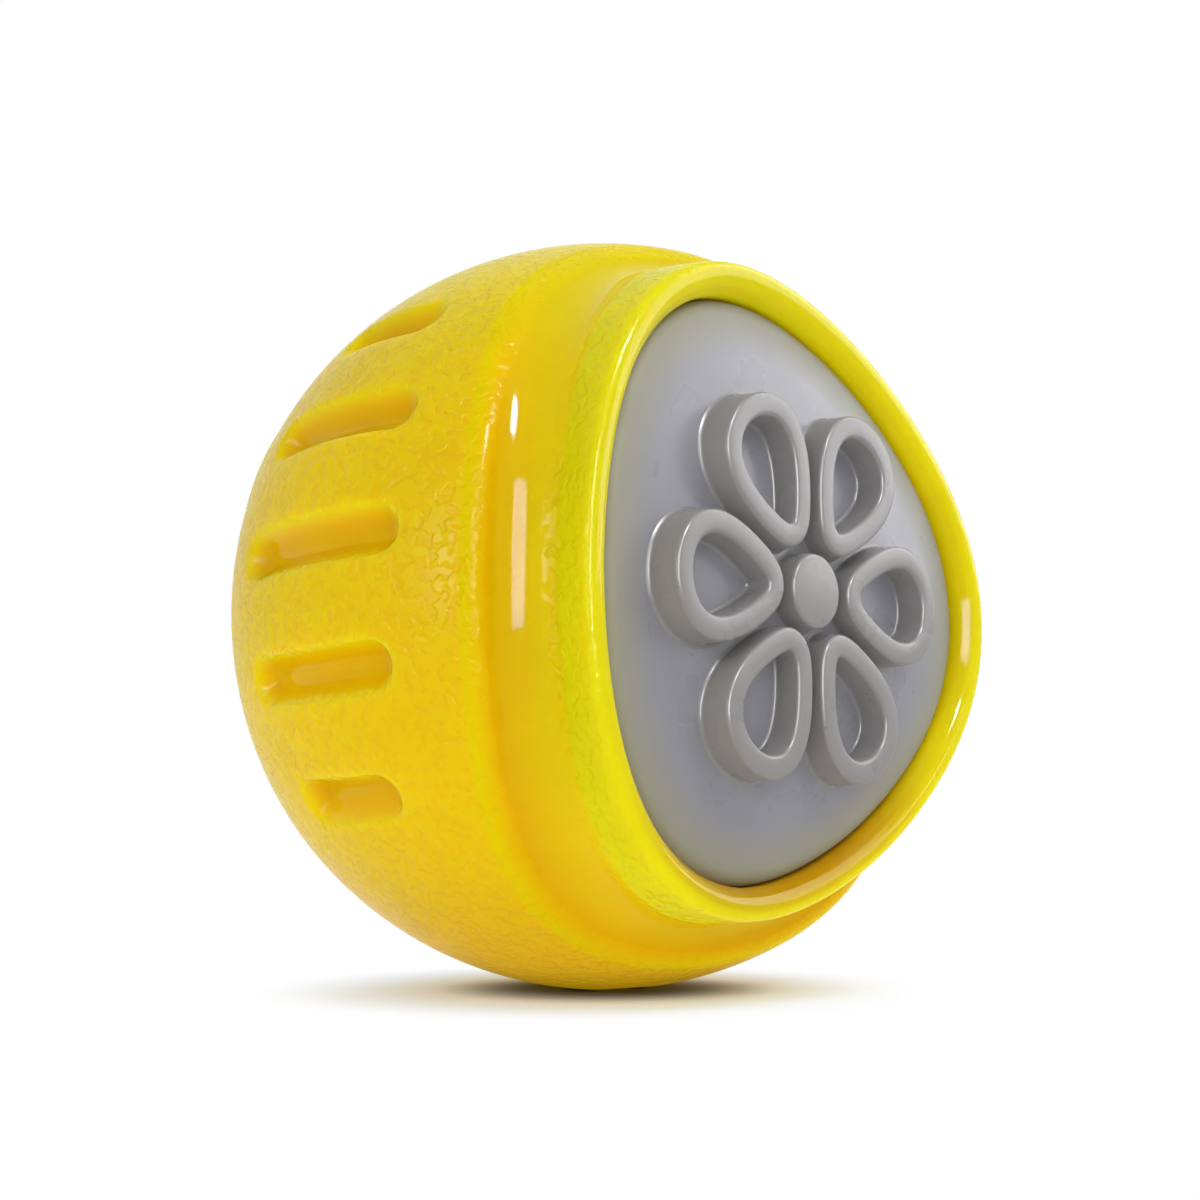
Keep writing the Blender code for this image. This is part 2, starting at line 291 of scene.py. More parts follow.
def jacket_half(turn, side):
    """Half a section as named stretches, from the belt's middle outside round to its middle inside."""
    wave = lobe_wave(turn, side)
    rear = (1 - side) / 2
    edge_angle = BELT_EDGE_ANGLE - BELT_EDGE_SWING * wave + REAR_EDGE_SHIFT * rear
    top_z = RING_TOP_Z - REAR_RING_DROP * rear
    edge = point_about_centre(BALL_R, edge_angle)
    foot = np.array((RING_FOOT_R + RING_FOOT_SWING * wave, RING_FOOT_Z))
    ring_outer = np.array((RING_OUTER_R + RING_SWING * wave, top_z))
    ring_inner = np.array((RING_INNER_R + RING_SWING * wave, top_z))
    window = np.array((WINDOW_R + RING_SWING * wave, WINDOW_EDGE_Z))

    groove = groove_curve(edge, foot)
    before_edge = point_about_centre(BALL_R, edge_angle - ROLL_LEAD)
    roll = corner_curve(before_edge, edge, groove[ROLL_AIM], BELT_EDGE_ROUND, ROLL_ROWS)
    belt_end = math.atan2(roll[0][1], roll[0][0])
    toe = corner_curve(groove[TOE_AIM], foot, ring_outer, RING_FOOT_ROUND, TOE_ROWS)
    shoulder = corner_curve(foot, ring_outer, ring_inner, RING_OUTER_ROUND, SHOULDER_ROWS)
    lip = corner_curve(ring_outer, ring_inner, window, RING_INNER_ROUND, LIP_ROWS)
    return {
        "belt": arc_about_centre(BALL_R, 0.0, belt_end, BELT_ROWS)[:-1],
        "roll": roll,
        "groove": groove[GROOVE_KEPT],
        "toe": toe,
        "wall": straight_run(toe[-1], shoulder[0], WALL_ROWS),
        "crest": np.concatenate((shoulder, straight_run(shoulder[-1], lip[0], CREST_ROWS))),
        "lip": np.concatenate((lip, straight_run(lip[-1], window, LEDGE_ROWS), [window])),
        "seat": arc_about_centre(SEAT_R, math.acos(window[0] / SEAT_R), 0.0, SEAT_ROWS),
    }


stretches = {name: len(points) for name, points in jacket_half(0.0, 1).items()}
print("points in each stretch of the jacket's section:", stretches)

# %% [markdown]
# Grip slots
#
# The belt has a group of five slots between each pair of lobes. They are half-round hollows with soft
# rims, and they lean a little. Cutting them with a Boolean would leave hard rims and long thin faces
# that shade badly. Here the belt's own points are pressed inward instead: the distance from a slot's
# middle line sets how deep each point sinks, so the rims stay soft and the faces stay even.

# %% Slot sizes
SLOT_WIDTH = 3.4
SLOT_DEPTH = 1.7
SLOT_PITCH = math.radians(18.3)
SLOT_SLANT = math.tan(math.radians(1.8))
SLOT_SET_BACK = 0.6
SLOT_GROUP_SHIFTS = np.radians((-4.9, 6.5, 0.0))
SLOT_LENGTHS = (10.8, 16.8, 18.8, 16.8, 11.2)
SLOT_RIM = 1.38
SLOT_FLATNESS = 1.3
print("slots:", len(SLOT_GROUP_SHIFTS) * len(SLOT_LENGTHS))


# %% Slot shape
def slot_press(turn, angle):
    """How far the belt is pressed in, from 0 beside a slot to 1 on its floor."""
    deepest = np.zeros_like(turn)
    middle = (len(SLOT_LENGTHS) - 1) / 2
    for group, shift in enumerate(SLOT_GROUP_SHIFTS):
        group_turn = LOBE_TURN + (group + 0.5) * 2 * math.pi / LOBE_COUNT + shift
        for i, length in enumerate(SLOT_LENGTHS):
            lean = turn - group_turn - (i - middle) * SLOT_PITCH + SLOT_SLANT * angle
            aside = BALL_R * ((lean + math.pi) % (2 * math.pi) - math.pi)
            along = np.abs(angle * BALL_R + SLOT_SET_BACK)
            beyond = np.maximum(along - (length - SLOT_WIDTH) / 2, 0.0)
            share = np.hypot(aside, beyond) / (SLOT_WIDTH / 2 * SLOT_RIM)
            pressed = 0.5 + 0.5 * np.cos(math.pi * np.minimum(share, 1.0) ** SLOT_FLATNESS)
            deepest = np.maximum(deepest, pressed)
    return deepest


# %% [markdown]
# The jacket
#
# The jacket is one moulding from the front window to the rear one. Two halves could be mirrored, but the
# rear of this ball differs from its front. So a front and a rear half section are put end to end at
# every turn, pressed in at the slots and joined into one closed skin.

# %% Jacket sections at every turn
jacket_turns = np.linspace(0, 2 * math.pi, JACKET_TURNS, endpoint=False)


def half_sections(side):
    """The half sections of one side at every turn."""
    return np.array([np.concatenate(list(jacket_half(turn, side).values())) for turn in jacket_turns])


rear_half = half_sections(-1)[:, -2:0:-1] * np.array((1.0, -1.0))
jacket_sections = np.concatenate((half_sections(1), rear_half), axis=1)
front_rows = [name for name, count in stretches.items() for _ in range(count)]
row_names = np.array(front_rows + front_rows[-2:0:-1])
print("jacket sections and points in each:", jacket_sections.shape[:2])

# %% Press in the slots
turn_grid = np.broadcast_to(jacket_turns[:, None], jacket_sections.shape[:2])
angle_grid = np.arctan2(jacket_sections[..., 1], jacket_sections[..., 0])
press = slot_press(turn_grid, angle_grid) * np.isin(row_names, ("belt", "roll"))
jacket_sections = jacket_sections * (1 - SLOT_DEPTH * press / BALL_R)[..., None]
print("slots pressed %.2f mm deep" % (SLOT_DEPTH * press.max()))

# %% Build the jacket
jacket_points = place(jacket_sections[..., 0], turn_grid, jacket_sections[..., 1])
jacket_faces = ring_faces(JACKET_TURNS, len(row_names), True)
jacket = make_piece("jacket_skin", jacket_points.reshape(-1, 3), jacket_faces)
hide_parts("jacket")
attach(jacket, "root")

# %% [markdown]
# Where the jacket's finish changes
#
# In the photograph the grain stops at the groove, hollow places look amber, the ring and the top look more
# lemon, and the lip turns brown at the bottom of the window. The amber, the lemon and the brown are light
# and shade, painted into the colour here. That could be painted by hand, but a rule is easier to change. So
# five numbers are stored on every point: its grain, its painted shade in amber, which follows how hollow it
# is, its painted light in lemon, mostly on the ring, its painted shade deep in the bottom lip, and its gloss
# level. Each starts as a number per row of the section, and the turn and the slots then change it.


# %% Finish along the section
def along_rows(usual, **changes):
    """A number for each row: the usual one, or from a first to a second level along a named stretch."""
    front = [np.linspace(*changes.get(name, (usual, usual)), count) for name, count in stretches.items()]
    front = np.concatenate(front)
    return np.concatenate((front, front[-2:0:-1]))


SHINE = 0.06
SLOT_SHINE = 0.05
grain_rows = along_rows(0, belt=(1, 1), roll=(1, 0.3), toe=(0.9, 1), wall=(1, 1), crest=(0.6, 0))
# Painted shade in amber: it rises over the roll, fades across the groove, and fills the lip and the seat.
amber_shade_rows = along_rows(0, roll=(0, 1), groove=(0.6, 0), toe=(0.1, 0.1), crest=(0, 0.2), lip=(0.4, 1),
                         seat=(1, 1))
# Painted light in lemon: on the belt's edge, the ring's toe, wall, crest and lip.
lemon_light_rows = along_rows(0, roll=(0.5, 0), groove=(0, 0.2), toe=(0.3, 0.8), wall=(1, 1), crest=(1, 1),
                       lip=(1, 0.8))
# Painted shade: deep gold in the lip and the seat.
lip_shade_rows = np.maximum(along_rows(0, crest=(-0.6, 0.4), lip=(0.4, 1), seat=(1, 1)), 0)
shine_rows = along_rows(SHINE, roll=(0.1 * SHINE, 0.6 * SHINE), toe=(0.5 * SHINE, SHINE))
print("rows of finish numbers:", len(grain_rows))

# %% Finish round the ball and in the slots
# Painted light and shade round the ball: lemon towards the top, amber towards the bottom, a lemon highlight
# on the slots' rims and amber shade on their floors.
LIT_TOP_FADE = (0.35, 0.95)
SHADED_BOTTOM_FADE = (0.55, 1.0)
# Painted shade in the lip grows towards the bottom of the window.
SHADED_LIP_FADE = (0.5, 1.0)
TOP_LEMON = 0.45
BOTTOM_AMBER = 0.5
SLOT_RIM_LEMON = 0.5
SLOT_RIM_PEAK = 0.06
SLOT_RIM_END = 0.30
SLOT_GRAIN_FADE = (0.02, 0.30)
SLOT_AMBER_FADE = (0.05, 0.8)
SLOT_SHINE_FADE = (0.2, 0.8)

upward = np.cos(turn_grid)
# Painted light: the upper side of the ball gets lemon.
top = smooth_step(*LIT_TOP_FADE, upward)
# Painted shade: amber on the lower side of the ball.
bottom = smooth_step(*SHADED_BOTTOM_FADE, -upward)
off_ring = np.isin(row_names, ("belt", "roll", "groove"))
# Painted highlight: a lemon band along each slot's rim.
slot_rim_highlight = smooth_step(0.0, SLOT_RIM_PEAK, press) - smooth_step(SLOT_RIM_PEAK, SLOT_RIM_END, press)

# Painted shade in amber: the hollow rows, less of it on the top, and more on the lower side of belt and
# groove.
amber_shade_share = np.maximum(amber_shade_rows * (1 - top), BOTTOM_AMBER * bottom * off_ring)
# Painted light in lemon: the ring rows, the slots' rims and the top.
lemon_light_share = np.maximum(lemon_light_rows, SLOT_RIM_LEMON * slot_rim_highlight)
lemon_light_share = np.maximum(lemon_light_share, TOP_LEMON * top * off_ring * (1 - press))
mark(jacket, "grain", grain_rows * (1 - smooth_step(*SLOT_GRAIN_FADE, press)))
# The hollow number is painted shade in amber, also on the slots' floors.
mark(jacket, "hollow", np.maximum(amber_shade_share, smooth_step(*SLOT_AMBER_FADE, press)))
# The ring number is painted light in lemon.
mark(jacket, "ring", lemon_light_share)
mark(jacket, "shine", shine_rows + (SLOT_SHINE - SHINE) * smooth_step(*SLOT_SHINE_FADE, press))
# The deep number is painted shade in the lip, strongest at the bottom.
mark(jacket, "deep", lip_shade_rows * smooth_step(*SHADED_LIP_FADE, -upward))

# %% [markdown]
# The core
#
# Each half of the grey core is a hollow cup. Its crown, a gentle dome with a rounded edge, stands in the
# jacket's window with a hair's gap all round. A lap joint bonds the two cups at the ball's middle. Only
# the crowns show, and a loose disc could stand for each, but the whole cup is modelled, so that the
# piece is a real one. The dome gets many rows, and the hidden walls few.

# %% Core sizes
CORE_R = SEAT_R - FIT_GAP
CORE_WALL = 4.0
HOLLOW_R = CORE_R - CORE_WALL
CAP_GAP = FIT_GAP / 4
CAP_R = WINDOW_R - CAP_GAP
CAP_SET_BACK = 0.2
CAP_RISE = 1.2
CAP_EDGE_ROUND = 1.6
CAP_WALL = 4.0
CAP_APEX_Z = WINDOW_EDGE_Z - CAP_SET_BACK + CAP_RISE
ROOF_Z = CAP_APEX_Z - CAP_WALL
ROOF_ROUND = 4.0
LAP_LIP_WALL = 1.85
LAP_LIP_R = HOLLOW_R + LAP_LIP_WALL
LAP_LENGTH = 2.5
RIM_GLOW = 3.4

CORE_TURNS = 360
DOME_ROWS = 30
EDGE_SHARE = 6
EDGE_ROWS = 10
WALL_STEPS = 8
ROOF_STEPS = 4
print("crown at %.2f mm, hollow radius %.2f mm" % (CAP_APEX_Z, HOLLOW_R))


# %% Core section
def dome_z(radius):
    """The height of the cap's gentle dome at a distance from the cap axis."""
    return CAP_APEX_Z - CAP_RISE * (radius / CAP_R) ** 2


def core_section(turn, side, with_lip):
    """Section of a core half, from just off the cap's middle round to just off the roof's middle."""
    cap_r = CAP_R + RING_SWING * lobe_wave(turn, side)
    radii = np.linspace(0.0, cap_r, DOME_ROWS + 1)[1:]
    dome = np.stack((radii, dome_z(radii)), axis=-1)
    shoulder_angle = math.acos(cap_r / CORE_R)
    shoulder = point_about_centre(CORE_R, shoulder_angle)
    edge = corner_curve(dome[-EDGE_SHARE - 1], dome[-1], shoulder, CAP_EDGE_ROUND, EDGE_ROWS)
    face_z = FIT_GAP / 2
    outside = arc_about_centre(CORE_R, shoulder_angle, math.asin(face_z / CORE_R), WALL_STEPS)
    if with_lip:
        joint = [(LAP_LIP_R, face_z), (LAP_LIP_R, -LAP_LENGTH), (HOLLOW_R, -LAP_LENGTH)]
        start_z = 0.0
    else:
        start_z = LAP_LENGTH + FIT_GAP
        joint = [(LAP_LIP_R + FIT_GAP, face_z), (LAP_LIP_R + FIT_GAP, start_z)]
    roof_angle = math.asin(ROOF_Z / HOLLOW_R)
    walls = arc_about_centre(HOLLOW_R, math.asin(start_z / HOLLOW_R), roof_angle, WALL_STEPS)
    roof = corner_curve(walls[-2], walls[-1], (0.0, ROOF_Z), ROOF_ROUND, ROOF_STEPS)
    middle = [(walls[-1][0] / 2, ROOF_Z)]
    return np.concatenate((dome[:-EDGE_SHARE], edge, outside, joint, walls[:-1], roof, middle))


# %% A core half
def build_core(name, side, with_lip):
    """One grey half: side is 1 for the front and -1 for the rear."""
    turns = np.linspace(0, 2 * math.pi, CORE_TURNS, endpoint=False)
    sections = np.array([core_section(turn, side, with_lip) for turn in turns])
    rows = sections.shape[1]
    grid = place(sections[..., 0], turns[:, None], side * sections[..., 1])
    crown = place(0.0, 0.0, side * CAP_APEX_Z)
    roof = place(0.0, 0.0, side * ROOF_Z)
    points = np.concatenate((grid.reshape(-1, 3), [crown, roof]))
    faces = ring_faces(CORE_TURNS, rows, False).tolist()
    crown_index = CORE_TURNS * rows
    for i in range(CORE_TURNS):
        here, there = i * rows, (i + 1) % CORE_TURNS * rows
        faces.append((crown_index, here, there))
        faces.append((crown_index + 1, there + rows - 1, here + rows - 1))
    piece = make_piece(name, points, faces)
    lobes = np.array([RING_SWING * lobe_wave(turn, side) for turn in turns])
    from_edge = CAP_R + lobes[:, None] - sections[..., 0]
    rim = 1 - smooth_step(0.0, RIM_GLOW, from_edge)
    mark(piece, "rim", np.concatenate((rim.ravel(), (0.0, 0.0))))
    mark(piece, "raised", np.zeros(len(points)))
    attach(piece, "root")
    return piece


# %% Build the two core halves
core_front = build_core("core_front_skin", 1, True)
core_rear = build_core("core_rear_skin", -1, False)
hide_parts("core_front")
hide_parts("core_rear")

# %% [markdown]
# The relief
#
# Moulded in one with the cap, the relief is a round boss inside six petal-shaped loops with flat tops.
# Its ribs could be curves with a bevel, but a moulded rib has drafted walls, a rounded top edge and a
# small fillet at its foot. So one rib section is drawn with those, and swept round the egg-shaped hole
# of each petal.

# %% Relief sizes
BOSS_R = 3.1
PETAL_COUNT = 6
PETAL_GAP = 0.8
PETAL_HOLE_WIDTH = 5.4
PETAL_HOLE_TAPER = 0.5
RIB_WIDTH = 2.1
RIB_ROUND = 0.35
RIB_FILLET = 0.30
RIB_DRAFT = 0.12
RIB_SINK = 0.25
RELIEF_MARGIN = 5.8
RELIEF_R = WINDOW_R - FIT_GAP - RELIEF_MARGIN
PETAL_HOLE_LENGTH = RELIEF_R - BOSS_R - PETAL_GAP - 2 * RIB_WIDTH
PETAL_CENTRE_R = RELIEF_R - RIB_WIDTH - PETAL_HOLE_LENGTH / 2

PETAL_TURNS = 120
FILLET_POINTS = 5
ROUND_POINTS = 6
PHASE_STEP = 0.01
print("relief radius %.2f mm, petal holes %.2f mm long" % (RELIEF_R, PETAL_HOLE_LENGTH))


# %% Rib section
def half_rib():
    """One flank of a rib, as distance in from the flank, height, and if that is measured from the top."""
    section = [(-RIB_FILLET - RIB_SINK, -RIB_SINK, False)]
    for lean in np.linspace(0.0, math.pi / 2, FILLET_POINTS):
        section.append((RIB_FILLET * (math.sin(lean) - 1), RIB_FILLET * (1 - math.cos(lean)), False))
    for lean in np.linspace(0.0, math.pi / 2, ROUND_POINTS):
        inset = RIB_DRAFT + RIB_ROUND * (1 - math.cos(lean))
        section.append((inset, RIB_ROUND * (math.sin(lean) - 1), True))
    return section


def rib_height(radius, height, from_top):
    """A height along the cap axis, measured from the relief's flat top or from the dome."""
    return np.full_like(radius, RELIEF_TOP_Z + height) if from_top else dome_z(radius) + height


# %% Petal outline
def petal_hole(phase):
    """A point on the egg-shaped hole of a petal, along and across the petal."""
    along = PETAL_CENTRE_R - PETAL_HOLE_LENGTH / 2 * np.cos(phase)
    across = PETAL_HOLE_WIDTH / 2 * (1 - PETAL_HOLE_TAPER * np.cos(phase)) * np.sin(phase)
    return np.stack((along, across), axis=-1)


def petal_line(direction, phase, offset):
    """Points at one distance outside a petal's hole, as radius and turn about the cap axis."""
    ahead = petal_hole(phase + PHASE_STEP) - petal_hole(phase - PHASE_STEP)
    ahead = ahead / np.linalg.norm(ahead, axis=-1, keepdims=True)
    spots = petal_hole(phase) + offset * np.stack((-ahead[:, 1], ahead[:, 0]), axis=-1)
    return np.linalg.norm(spots, axis=-1), direction + np.arctan2(spots[:, 1], spots[:, 0])


# %% A relief
def build_relief(name, side):
    """The boss and petals of one cap."""
    flank = half_rib()
    rib = flank + [(RIB_WIDTH - inset, height, from_top) for inset, height, from_top in reversed(flank)]
    phase = np.linspace(0, 2 * math.pi, PETAL_TURNS, endpoint=False)
    points, faces = [], []
    for petal in range(PETAL_COUNT):
        rows = []
        for offset, height, from_top in rib:
            radius, turn = petal_line(lobe_turn(side) + 2 * math.pi * petal / PETAL_COUNT, phase, offset)
            rows.append(place(radius, turn, side * rib_height(radius, height, from_top)))
        faces += (ring_faces(PETAL_TURNS, len(rib), True) + len(points)).tolist()
        points += np.stack(rows, axis=1).reshape(-1, 3).tolist()
    boss_start = len(points)
    rows = []
    for inset, height, from_top in flank:
        radius = np.full_like(phase, BOSS_R - inset)
        rows.append(place(radius, phase, side * rib_height(radius, height, from_top)))
    points += np.stack(rows, axis=1).reshape(-1, 3).tolist()
    faces += (ring_faces(PETAL_TURNS, len(flank), False) + boss_start).tolist()
    faces.append([boss_start + i * len(flank) for i in range(PETAL_TURNS)])
    faces.append([boss_start + i * len(flank) + len(flank) - 1 for i in reversed(range(PETAL_TURNS))])
    piece = make_piece(name, points, faces)
    mark(piece, "rim", np.zeros(len(points)))
    mark(piece, "raised", np.ones(len(points)))
    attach(piece, "root")
    return piece


# %% Build the two reliefs
relief_front = build_relief("relief_front", 1)
relief_rear = build_relief("relief_rear", -1)

# %% [markdown]
# Node helpers
#
# Real rubber has no seams in its grain. Images could be wrapped round the ball, but they would stretch
# and join badly. So every finish is built from Blender's own texture nodes, in the object's metres, and
# keeps its real scale from any side. A small class keeps the node code short: it adds nodes, gives their
# sockets a value or a link, and has one line each for a sum, a mix and a range. A second one adds a
# material's shader.


# %% Node helpers
class Nodes:
    """A tree of nodes under construction."""

    # The mix node has sockets for several kinds of data, and these are the places of those for colours
    MIX_AMOUNT, MIX_FIRST, MIX_SECOND, MIX_RESULT = 0, 6, 7, 2

    def __init__(self, tree):
        self.tree = tree

    def node(self, kind, settings=None, **sockets):
        """Add a node. Settings are its own choices; sockets are values or other nodes' outputs."""
        node = self.tree.nodes.new(kind)
        for key, value in (settings or {}).items():
            setattr(node, key, value)
        for key, value in sockets.items():
            self.feed(node.inputs[key.replace("_", " ")], value)
        return node

    def feed(self, socket, value):
        """Give a socket a value or a link."""
        if isinstance(value, bpy.types.NodeSocket):
            self.tree.links.new(value, socket)
        else:
            socket.default_value = value

    def number(self, name):
        """A number stored on the points."""
        return self.node("ShaderNodeAttribute", {"attribute_name": name}).outputs["Fac"]

    def math(self, operation, first, second):
        """A sum, a product or the larger of two numbers."""
        node = self.node("ShaderNodeMath", {"operation": operation})
        self.feed(node.inputs[0], first)
        self.feed(node.inputs[1], second)
        return node.outputs[0]

    def blend(self, amount, first, second):
        """A mix of two colours."""
        node = self.node("ShaderNodeMix", {"data_type": "RGBA"})
        self.feed(node.inputs[self.MIX_AMOUNT], amount)
        self.feed(node.inputs[self.MIX_FIRST], first)
        self.feed(node.inputs[self.MIX_SECOND], second)
        return node.outputs[self.MIX_RESULT]

    def ramp(self, value, low, high, from_value=0.0, to_value=1.0):
        """A number stretched from one range to another and kept inside it."""
        node = self.node("ShaderNodeMapRange", {"clamp": True, "interpolation_type": "SMOOTHSTEP"})
        for socket, given in zip(node.inputs, (value, low, high, from_value, to_value)):
            self.feed(socket, given)
        return node.outputs[0]

    def looked_at(self):
        """1 for rays from the camera, off a gloss or through something clear, and 0 for plain light."""
        path = self.node("ShaderNodeLightPath").outputs
        straight_or_gloss = self.math("MAXIMUM", path["Is Camera Ray"], path["Is Glossy Ray"])
        return self.math("MAXIMUM", straight_or_gloss, path["Is Transmission Ray"])


class Finish(Nodes):
    """A material under construction, with its shader and the place on the object in metres."""

    def __init__(self, name):
        self.material = bpy.data.materials.new(name)
        self.material.use_nodes = True
        super().__init__(self.material.node_tree)
        self.shader = self.tree.nodes["Principled BSDF"]
        self.spot = self.node("ShaderNodeTexCoord").outputs["Object"]

    def texture(self, kind, output, **sockets):
        """A texture in the object's own metres."""
        return self.node(kind, Vector=self.spot, **sockets).outputs[output]

    def set_shader(self, **sockets):
        """Set or link the shader's sockets by name."""
        for key, value in sockets.items():
            self.feed(self.shader.inputs[key.replace("_", " ")], value)


# %% [markdown]
# Yellow rubber
#
# The jacket is a soft translucent rubber. Light enters it, scatters and comes out warmer, so hollow
# places turn amber while the thin raised ring stays lemon yellow. One flat colour couldn't show that.
# Subsurface scattering gives the softness, and the stored numbers mix four yellows that paint the rest of
# that light in: amber as painted shade in the hollows and towards the bottom, deep gold as painted shade
# under the bottom lip, and lemon as painted light on the ring, the top, the belt's edge and the slots' rims.
# The belt's leather grain is a field of soft dents about 0.9 mm apart, with a little amber in them as
# painted shade. Modelling them would take millions of faces, so a noise tilts the shading instead. The grain
# number fades it out, so that the groove and the slots stay smooth and glossy. The gloss level is low,
# because the white room shows in gloss and would wash the yellow out.

# %% Yellow rubber's colours
GOLD = (0.74, 0.525, 0.002, 1.0)
# Painted shade: amber for the hollows, the slots, the dents and the lower side.
AMBER_SHADE = (0.73, 0.42, 0.001, 1.0)
# Painted light: lemon for the ring, the top, the belt's edge and the slots' rims.
LEMON_LIGHT = (0.645, 0.595, 0.003, 1.0)
# Painted shade: a deep brownish gold under the bottom lip.
LIP_SHADE_GOLD = (0.46, 0.23, 0.001, 1.0)
LEATHER_SCALE, LEATHER_DETAIL = 1150.0, 1.0
LEATHER_ROUGHNESS, LEATHER_BEND = 0.4, 0.4
CLOUD_SCALE, CLOUD_DETAIL = 90.0, 3.0
CLOUD_RANGE = (0.3, 0.7)
DENT_RANGE = (0.36, 0.56)
# Painted shade: the dents of the grain get a little amber.
DENT_AMBER_RANGE = (0.36, 0.50)
DENT_AMBER = 0.3
CLOUD_DARKEST, CLOUD_BRIGHTEST = 0.96, 1.03

yellow = Finish("yellow_rubber_grained")
grain = yellow.number("grain")
cloud = yellow.texture("ShaderNodeTexNoise", "Fac", Scale=CLOUD_SCALE, Detail=CLOUD_DETAIL)
leather = yellow.texture("ShaderNodeTexNoise", "Fac", Scale=LEATHER_SCALE, Detail=LEATHER_DETAIL,
                         Roughness=LEATHER_ROUGHNESS, Distortion=LEATHER_BEND)
# Painted shade: amber in the dents, where the grain number allows it.
dent_shade = yellow.math("MULTIPLY", yellow.ramp(leather, *DENT_AMBER_RANGE, DENT_AMBER, 0.0), grain)
# Painted shade: amber where the hollow number or the dents call for it.
jacket_colour = yellow.blend(yellow.math("MAXIMUM", yellow.number("hollow"), dent_shade), GOLD, AMBER_SHADE)
# Painted light: lemon where the ring number is high.
jacket_colour = yellow.blend(yellow.number("ring"), jacket_colour, LEMON_LIGHT)
# Painted shade: deep gold where the deep number is high.
jacket_colour = yellow.blend(yellow.number("deep"), jacket_colour, LIP_SHADE_GOLD)
cloud_tone = yellow.ramp(cloud, *CLOUD_RANGE, CLOUD_DARKEST, CLOUD_BRIGHTEST)
jacket_tone = yellow.node("ShaderNodeHueSaturation", Color=jacket_colour, Value=cloud_tone)
print("four yellows mixed by", len(yellow.tree.nodes), "nodes")

# %% Yellow rubber's grain, gloss and softness
DENT_STRENGTH = 0.9
DENT_DEPTH = 0.00011
SMOOTH_ROUGHNESS, GRAIN_ROUGHNESS = 0.06, 0.26
CLOUD_ROUGHNESS = 0.02
RUBBER_IOR = 1.5
YELLOW_SOFTNESS = 0.85
YELLOW_SCATTER = (1.0, 0.55, 0.05)
YELLOW_SCATTER_DEPTH = 0.0040

dents = yellow.math("MULTIPLY", yellow.ramp(leather, *DENT_RANGE), grain)
dent_bump = yellow.node("ShaderNodeBump", Height=dents, Strength=DENT_STRENGTH, Distance=DENT_DEPTH)
grain_roughness = yellow.ramp(grain, 0.0, 1.0, SMOOTH_ROUGHNESS, GRAIN_ROUGHNESS)
cloud_roughness = yellow.ramp(cloud, *CLOUD_RANGE, -CLOUD_ROUGHNESS, CLOUD_ROUGHNESS)
yellow.set_shader(Base_Color=jacket_tone.outputs[0], Normal=dent_bump.outputs[0],
                  Roughness=yellow.math("ADD", grain_roughness, cloud_roughness),
                  IOR=RUBBER_IOR, Specular_IOR_Level=yellow.number("shine"),
                  Subsurface_Weight=YELLOW_SOFTNESS, Subsurface_Radius=YELLOW_SCATTER,
                  Subsurface_Scale=YELLOW_SCATTER_DEPTH)
jacket.data.materials.append(yellow.material)
print("yellow rubber:", len(yellow.tree.nodes), "nodes")

# %% [markdown]
# Grey rubber
#
# The core is the same kind of rubber in a cool grey, moulded smooth. Yellow light from the jacket creeps
# into the crown's edge. Letting it scatter from one piece into the other would be the exact way, but
# Blender's scattering stays within one piece. So the rim number warms the colour there, and makes it
# rougher, since a glossy edge would ring the cap with a white line. The relief is a little warmer than
# the cap, and a little darker as painted shade, since its flat tops miss the cap's sheen. A few dust specks
# and faint rub marks keep the surface from looking too clean.

# %% Grey rubber's colours
GREY = (0.253, 0.251, 0.279, 1.0)
GREY_DEEP = (0.232, 0.229, 0.256, 1.0)
# The relief's grey is warmer and a little darker, as painted shade.
RAISED_GREY_SHADED = (0.230, 0.221, 0.218, 1.0)
RIM_WARM = (0.25, 0.232, 0.115, 1.0)
RIM_WARMTH = 0.9
SPECK = (0.12, 0.12, 0.12, 1.0)
SPECK_RANGE = (0.035, 0.055)
SPECK_DARKNESS = 0.6
MOTTLE_SCALE, MOTTLE_DETAIL = 120.0, 4.0
SPECK_SCALE = 330.0

grey = Finish("grey_rubber_smooth")
rim = grey.number("rim")
mottle = grey.texture("ShaderNodeTexNoise", "Fac", Scale=MOTTLE_SCALE, Detail=MOTTLE_DETAIL)
core_colour = grey.blend(mottle, GREY_DEEP, GREY)
# Painted shade: the relief takes its warmer, darker grey.
core_colour = grey.blend(grey.number("raised"), core_colour, RAISED_GREY_SHADED)
core_colour = grey.blend(grey.math("MULTIPLY", rim, RIM_WARMTH), core_colour, RIM_WARM)
dots = grey.texture("ShaderNodeTexVoronoi", "Distance", Scale=SPECK_SCALE, Randomness=1.0)
core_colour = grey.blend(grey.ramp(dots, *SPECK_RANGE, SPECK_DARKNESS, 0.0), core_colour, SPECK)
print("greys mixed by", len(grey.tree.nodes), "nodes")

# %% Grey rubber's polish and softness
SMEAR_SCALE, SMEAR_DETAIL = 260.0, 5.0
SMEAR_RANGE = (0.3, 0.7)
RIPPLE_STRENGTH = 0.04
RIPPLE_DEPTH = 0.0003
POLISH_BEST, POLISH_WORST = 0.26, 0.34
RIM_ROUGHNESS = 0.4
GREY_SHINE = 0.2
GREY_SOFTNESS = 0.15
GREY_SCATTER = (1.0, 0.95, 0.9)
GREY_SCATTER_DEPTH = 0.0012

